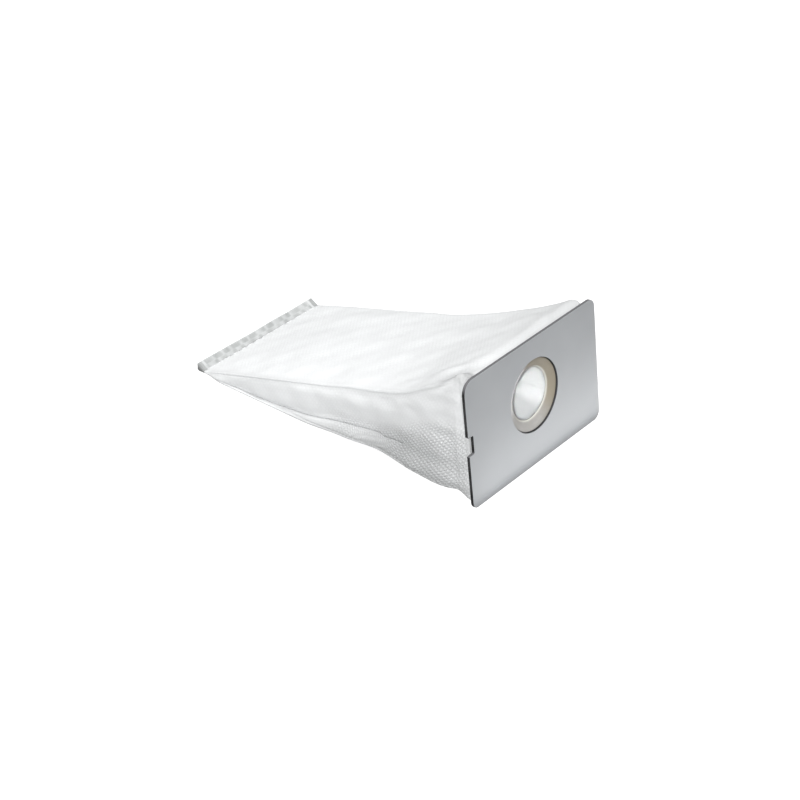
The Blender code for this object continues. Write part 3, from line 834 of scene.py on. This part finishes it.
    # inside surface: a smoother skin, one fleece thickness in
    inner_start = (face + FLEECE) / math.cos(LEAN)
    inner_stations = np.concatenate([[inner_start], np.linspace(6, 166, 46)])
    first_inner = total
    outer_faces = len(faces)
    inner = []
    for s in inner_stations:
        ring = inset(section(s, skin=1.0), -FLEECE)
        sq = 1 - smooth(2.0, 60.0, s)
        inner.append(np.stack([ring[:, 0], s + TAN * (ring[:, 1] - FOOT) * sq, ring[:, 1]], -1))
    inner = np.stack(inner)
    xi, yi = inner[..., 0], inner[..., 1]
    soft = smooth(8, 30, inner_stations)[:, None] * smooth(170, 150, inner_stations)[:, None]
    inner[..., 2] += on_top[: len(inner_stations)] * soft * 0.35 * ripple(xi, yi, 5)
    points.append(inner.reshape(-1, 3))
    scale = np.interp(inner_stations, stations, along)
    keep = np.stack([np.repeat(round_it[60][None], len(inner_stations), 0), np.repeat(scale[:, None], count, 1)], -1)
    coords.append(keep.reshape(-1, 2))
    for k in range(len(inner_stations) - 1):
        faces += band(first_inner + k * count, first_inner + (k + 1) * count, count)
    total = first_inner + len(inner_stations) * count
    faces += rungs(first_inner + (len(inner_stations) - 1) * count)
    back_last = end_wall(inner[0], None, face + FLEECE, FLANGE_T + 0.06, first_inner)
    faces += band(front_last, back_last, count)
    slots = np.zeros(len(faces), np.int32)
    slots[outer_faces:] = 1

    tint = (0.955, 0.966, 0.97)
    points = np.concatenate(points)
    greyed = np.zeros(len(points))
    greyed[: painted_shade_and_press.size] = painted_shade_and_press.ravel()
    # the bond points stand out most low on the sides, near the plate; the same mask darkens the colour there as
    # painted shade
    emboss_and_shade = np.full(len(points), 0.12)
    emboss_and_shade[: painted_shade_and_press.size] = (0.12 + 0.88 * smooth(104, 74, y) * (0.7 + 0.3 * smooth(8, 26, y)) * smooth(8, -7, z - 12 - 28 * smooth(76, 8, y)) * smooth(n_top + 2, n_top + 8, right_i)[None, :]).ravel()
    made = make("bag", place(points), faces, [fleece_material("bonded_fleece", tint, 0.28), inside_material("loose_fleece", tint, 0.6)], uv=np.concatenate(coords), slots=slots, attributes={"greyed": greyed, "emboss_and_shade": emboss_and_shade})
    face_out(made)
    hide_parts("filter_bag")
    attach(made, "root")
    return made


def weld_band():
    """The welded tail: the layers fused flat between patterned bars, curling up."""
    across, over = 420, 30
    x = np.linspace(-1, 1, across + 1)
    v = np.linspace(0, 1, over + 1)
    X, V = np.meshgrid(x * (HALF - 0.3), v, indexing="ij")
    xm, vm = X, V * WELD_LENGTH
    # two staggered rows of pads, unevenly pressed
    def pads(shift, low, high):
        cell = (xm + shift + 0.9 * np.sin(xm * 0.37 + shift) + 0.7 * np.sin(xm * 0.9 + 2 * shift)) / 7.3
        local = (cell - np.round(cell)) * 7.3
        in_x = smooth(3.5, 0.8, np.abs(local))
        in_v = smooth(low - 0.8, low + 1.2, vm) * smooth(high + 0.8, high - 1.2, vm)
        return in_x * in_v * (0.95 + 0.17 * np.sin(np.round(cell) * 2.3 + shift))
    def row(low, high):
        return smooth(low - 0.3, low + 0.4, vm) * smooth(high + 0.3, high - 0.4, vm)

    inner_row = 0.64 * row(0.9, 3.2) + 0.34 * pads(0.0, 0.4, 3.3)
    outer_row = 0.68 * row(2.8, 5.75) + 0.36 * pads(3.65, 2.6, 5.8)
    fused = np.maximum(inner_row, outer_row)
    # the end pads are fused above 1, which the material paints near black as the shadow between the layers, more at
    # the x<0 end
    shaded_end_pad = smooth(HALF - 3.4, HALF - 2.9, np.abs(xm)) * smooth(0.2, 0.6, vm) * smooth(5.9, 5.5, vm)
    clear_gap = smooth(HALF - 5.0, HALF - 4.4, np.abs(xm)) * smooth(HALF - 2.8, HALF - 3.4, np.abs(xm)) * np.where(xm > 0, 0.55, 0.3)
    fused = np.maximum(fused * (1 - clear_gap), (1.1 + 0.2 * smooth(HALF - 1.8, HALF - 0.9, -xm)) * shaded_end_pad)
    knurl = 0.5 + 0.5 * np.cos(2 * np.pi * xm / 0.62) * np.cos(2 * np.pi * vm / 0.62)
    puffy = 0.10 * ripple(xm * 3, vm * 3, 8, 8, 3, 12)
    wave = 0.28 * ripple(xm, vm * 0.3, 21, 6, 18, 70) * smooth(0, 4, vm)
    curl = 3.2 * (vm / WELD_LENGTH) ** 1.15
    middle = 0.80 + curl + wave
    # thicker at both ends, where the gussets lie between the panels
    half_thick = 0.44 + 0.22 * smooth(HALF - 22, HALF - 12, np.abs(xm))
    half_thick = half_thick * (1 - 0.30 * smooth(0, 1.2, vm)) + 0.16 * (1 - smooth(0, 1.4, vm))
    face_relief = -0.26 * np.minimum(fused, 1.25) + 0.05 * knurl * fused + puffy * (1 - fused)
    edge = smooth(0, 0.5, WELD_LENGTH - vm) * smooth(0, 0.5, HALF - 0.3 - np.abs(xm))
    body = np.maximum(half_thick + face_relief * edge, 0.16)
    body = body * (0.35 + 0.65 * np.sqrt(np.clip(edge, 0, 1)))
    frayed = 0.10 * np.sin(xm * 5.1) * np.sin(xm * 1.7 + 1)
    yy = WELD_START + vm * (1 + 0.02 * frayed) * math.cos(math.radians(20)) / math.cos(math.radians(20))
    top = np.stack([X, yy, middle + body], -1)
    # the gusset's layers splay at the cut ends
    splay = 3.4 * smooth(HALF - 6, HALF - 1, -xm) * smooth(0.0, 3.5, vm)
    low = np.stack([X, yy, middle - body - splay], -1)
    low[..., 2] = np.maximum(low[..., 2], 0.05)
    n, m = top.shape[:2]
    points = np.concatenate([top.reshape(-1, 3), low.reshape(-1, 3)])
    faces = []
    size = n * m
    for a in range(n - 1):
        for b in range(m - 1):
            q = a * m + b
            faces.append((q, q + m, q + m + 1, q + 1))
            faces.append((q + size, q + 1 + size, q + m + 1 + size, q + m + size))
    rim = [b for b in range(m)] + [a * m + m - 1 for a in range(1, n)] + [(n - 1) * m + b for b in range(m - 2, -1, -1)] + [a * m for a in range(n - 2, 0, -1)]
    for p, q in zip(rim, rim[1:] + rim[:1]):
        faces.append((p, q, q + size, p + size))
    painted_shade_and_press = np.concatenate([fused.ravel(), fused.ravel()])
    made = make("tail_weld", place(points), faces, [weld_material()], attributes={"fused": painted_shade_and_press})
    face_out(made)
    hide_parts("filter_bag")
    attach(made, "root")
    return made


# ---------------------------------------------------------------- stage
def floor():
    size = 8.0
    points = [(-size, -size, 0), (size, -size, 0), (size, size, 0), (-size, size, 0)]
    t = Tree("pale_floor")
    body = t.add("ShaderNodeBsdfPrincipled")
    body.inputs["Base Color"].default_value = rgba(0.3, 0.3, 0.3)
    body.inputs["Roughness"].default_value = 0.9
    body.inputs["Specular IOR Level"].default_value = 0.1
    lift = t.add("ShaderNodeEmission")
    lift.inputs["Color"].default_value = rgba(1, 1, 1)
    path = t.add("ShaderNodeLightPath")
    t.link(t.math("MULTIPLY", path.outputs["Is Camera Ray"], 0.9), lift.inputs["Strength"])
    both = t.add("ShaderNodeAddShader")
    t.link(body.outputs[0], both.inputs[0])
    t.link(lift.outputs[0], both.inputs[1])
    t.link(both.outputs[0], t.out.inputs["Surface"])
    made = make("floor", np.array(points) + (0, 0, -0.00005), [(0, 1, 2, 3)], [t.mat])
    return made


def area_light(name, at, target, size, power, colour=(1, 1, 1), size_y=None):
    data = bpy.data.lights.new(name, "AREA")
    data.energy, data.size, data.color = power, size, colour
    if size_y:
        data.shape, data.size_y = "RECTANGLE", size_y
    made = bpy.data.objects.new(name, data)
    made.location = at
    made.rotation_euler = (Vector(target) - Vector(at)).to_track_quat("-Z", "Y").to_euler()
    bpy.context.scene.collection.objects.link(made)
    return made


def look(cam, at, target):
    cam.location = at
    cam.rotation_euler = (Vector(target) - Vector(at)).to_track_quat("-Z", "Y").to_euler()


cam = camera()
look(cam, (-0.668835, -0.554757, 0.556537), (0.014135, 0.004804, -0.011744))
bpy.context.scene.camera = cam

world = bpy.data.worlds.new("studio")
world.use_nodes = True
world.node_tree.nodes["Background"].inputs["Color"].default_value = (1, 1, 1, 1)
world.node_tree.nodes["Background"].inputs["Strength"].default_value = 0.365
bpy.context.scene.world = world
bpy.context.scene.view_settings.view_transform = "Standard"

floor()
area_light("key", (-1.0, -0.42, 0.66), (0, -0.02, 0.03), 0.5, 11.4)
area_light("overhead", (-0.10, -0.28, 1.37), (0, 0, 0.03), 0.9, 17.6)
area_light("front", (0.55, -0.90, 0.50), (0, -0.09, 0.035), 0.3, 0.9)
card = area_light("card", (0.047, -0.125, 0.0005), (0.047, -0.125, 1.0), 0.2, 0.045, size_y=0.042)
card.visible_camera = False
mounting_plate()
lip_seal()
bag = build_bag()
tail = weld_band()

# a narrow beam along the line of sight, which lights only what is seen through the port
mouth = Vector(place(on_plate(0.0, 3.6, PORT_RISE))[0])
beam = area_light("beam", mouth + (cam.location - mouth).normalized() * 0.10, mouth, 0.028, 0.0060, size_y=0.038)
beam.data.shape, beam.data.spread = "ELLIPSE", math.radians(2)
beam.visible_camera = beam.visible_glossy = False
lit = bpy.data.collections.new("lit_by_beam")
lit.objects.link(bag)
beam.light_linking.receiver_collection = lit
